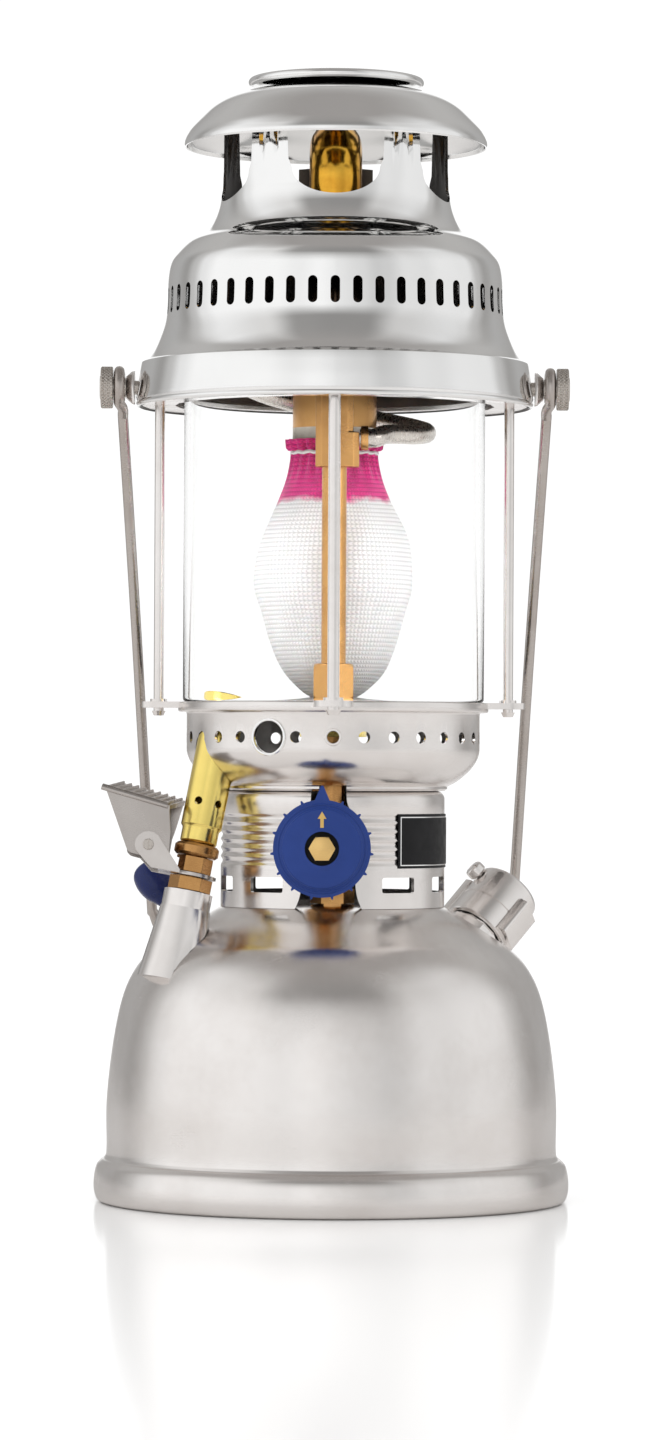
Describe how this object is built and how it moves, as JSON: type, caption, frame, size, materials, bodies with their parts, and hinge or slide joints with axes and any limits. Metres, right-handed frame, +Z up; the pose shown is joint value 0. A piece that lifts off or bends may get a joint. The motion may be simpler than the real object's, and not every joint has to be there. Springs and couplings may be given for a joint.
{
  "type": "kerosene pressure lantern",
  "caption": "Kerosene pressure lantern: drawn fuel tank, ribbed collar, pierced burner bowl, glass chimney, knitted mantle, vented hood, wire bail, hand pump, preheating torch.",
  "frame": {"origin": "on the floor, on the tank's axis", "axes": "+Z up, -Y the front with the control wheel, +X the side of the filler cap"},
  "size_m": [0.17, 0.17, 0.4023],
  "materials": {
    "nickel_plate": "nickel plate over brass, satin, lightly worn",
    "bright_chrome": "polished plate",
    "yellow_brass": "turned brass",
    "aged_bronze": "heat-tinted bronze",
    "plain_steel": "drawn steel wire and tube",
    "heated_steel": "dark, heat-scaled sheet",
    "burner_ceramic": "unglazed",
    "mantle_cloth": "fine knitted net, pink towards its top",
    "chimney_glass": "clear",
    "wheel_blue": "moulded, semi-gloss",
    "knob_navy": "moulded, glossy",
    "piston_leather": "oiled",
    "seal_rubber": "matte",
    "pointer_red": "painted"
  },
  "bodies": {
    "lantern": {"tank_shell": "nickel_plate", "tank_bottom": "nickel_plate", "collar": "nickel_plate", "burner_gallery": "bright_chrome", "frame_rod_front": "nickel_plate", "frame_rod_right": "nickel_plate", "frame_rod_back": "nickel_plate", "frame_rod_left": "nickel_plate", "frame_ring": "nickel_plate", "glass_chimney": "chimney_glass", "valve_body": "nickel_plate", "packing_nut": "aged_bronze", "dip_tube": "yellow_brass", "foot_valve": "yellow_brass", "vaporizer_nut": "aged_bronze", "vaporizer_tube": "aged_bronze", "vaporizer_head": "aged_bronze", "vaporizer_loop": "plain_steel", "jet": "yellow_brass", "preheat_cup": "nickel_plate", "mixing_tube": "yellow_brass", "mixing_chamber": "aged_bronze", "nozzle": "burner_ceramic", "mantle": "mantle_cloth", "inner_casing": "heated_steel", "bail_washer_right": "nickel_plate", "bail_washer_left": "nickel_plate", "torch_well": "nickel_plate", "torch_body": "aged_bronze", "torch_bracket": "nickel_plate", "torch_hex_nut": "aged_bronze", "torch_round_nut": "aged_bronze", "flame_tube": "yellow_brass", "lever_pin": "nickel_plate", "torch_spring": "plain_steel", "pump_barrel": "yellow_brass", "pump_cap": "nickel_plate", "pump_spring": "plain_steel", "pump_check_valve": "yellow_brass", "filler_neck": "nickel_plate"},
    "wheel": {"spindle": "aged_bronze", "control_wheel": "wheel_blue", "wheel_nut": "yellow_brass"},
    "needle": {"needle_rod": "yellow_brass"},
    "pump": {"pump_rod": "plain_steel", "pump_piston": "piston_leather", "pump_knob": "knob_navy"},
    "lever": {"torch_lever": "nickel_plate"},
    "plunger": {"torch_plunger": "yellow_brass"},
    "cap": {"filler_cap": "nickel_plate", "cap_seal": "seal_rubber", "gauge_glass": "chimney_glass"},
    "release": {"release_screw": "nickel_plate"},
    "pointer": {"gauge_needle": "pointer_red"},
    "bail": {"bail_handle": "plain_steel"},
    "screw_right": {"bail_screw_right": "nickel_plate"},
    "screw_left": {"bail_screw_left": "nickel_plate"},
    "hood": {"hood_body": "bright_chrome", "hood_dome": "bright_chrome", "hood_top_disc": "bright_chrome"}
  },
  "joints": [
    {"name": "wheel_turn", "type": "hinge", "parent": "lantern", "child": "wheel", "pos_m": [-0.0037, -0.058, 0.127], "axis": [0, 1, 0], "range_deg": [0, 180]},
    {"name": "needle_slide", "type": "slide", "parent": "lantern", "child": "needle", "axis": [0, 0, -1], "range_m": [0, 0.003]},
    {"name": "pump_slide", "type": "slide", "parent": "lantern", "child": "pump", "axis": [-0.558, 0.26, 0.788], "range_m": [0, 0.06]},
    {"name": "lever_tilt", "type": "hinge", "parent": "lantern", "child": "lever", "pos_m": [-0.06499, -0.02688, 0.12688], "axis": [0.0189, -0.9948, 0.1002], "range_deg": [0, 10], "stiffness_Nm_per_rad": 0.1, "springref_deg": -14.32},
    {"name": "plunger_slide", "type": "slide", "parent": "lantern", "child": "plunger", "axis": [0.1839, 0.102, 0.9776], "range_m": [0, 0.0026], "deforming": ["torch_spring"]},
    {"name": "cap_turn", "type": "hinge", "parent": "lantern", "child": "cap", "pos_m": [0.0577, 0.045, 0.1017], "axis": [0.5762, 0.4501, 0.6822], "range_deg": [0, 180]},
    {"name": "release_turn", "type": "hinge", "parent": "cap", "child": "release", "pos_m": [0.05283, 0.0467, 0.1173], "axis": [-0.7019, -0.1551, 0.6952], "range_deg": [0, 360]},
    {"name": "gauge_swing", "type": "hinge", "parent": "cap", "child": "pointer", "pos_m": [0.06404, 0.04995, 0.1092], "axis": [-0.5762, -0.4501, -0.6822], "range_deg": [0, 240], "stiffness_Nm_per_rad": 0.0001, "springref_deg": -11.46},
    {"name": "bail_swing", "type": "hinge", "parent": "lantern", "child": "bail", "pos_m": [0, 0, 0.291], "axis": [1, 0, 0], "range_deg": [0, 318]},
    {"name": "screw_right_turn", "type": "hinge", "parent": "lantern", "child": "screw_right", "pos_m": [0.08, 0, 0.291], "axis": [1, 0, 0], "range_deg": [0, 360]},
    {"name": "screw_left_turn", "type": "hinge", "parent": "lantern", "child": "screw_left", "pos_m": [-0.08, 0, 0.291], "axis": [-1, 0, 0], "range_deg": [0, 360]},
    {"name": "hood_lift", "type": "slide", "parent": "lantern", "child": "hood", "axis": [0, 0, 1], "range_m": [0, 0.02]}
  ],
  "couplings": [
    {"joint": "needle_slide", "follows": "wheel_turn", "m_per_rad": 0.000954},
    {"joint": "plunger_slide", "follows": "lever_tilt", "m_per_rad": 0.01485}
  ]
}
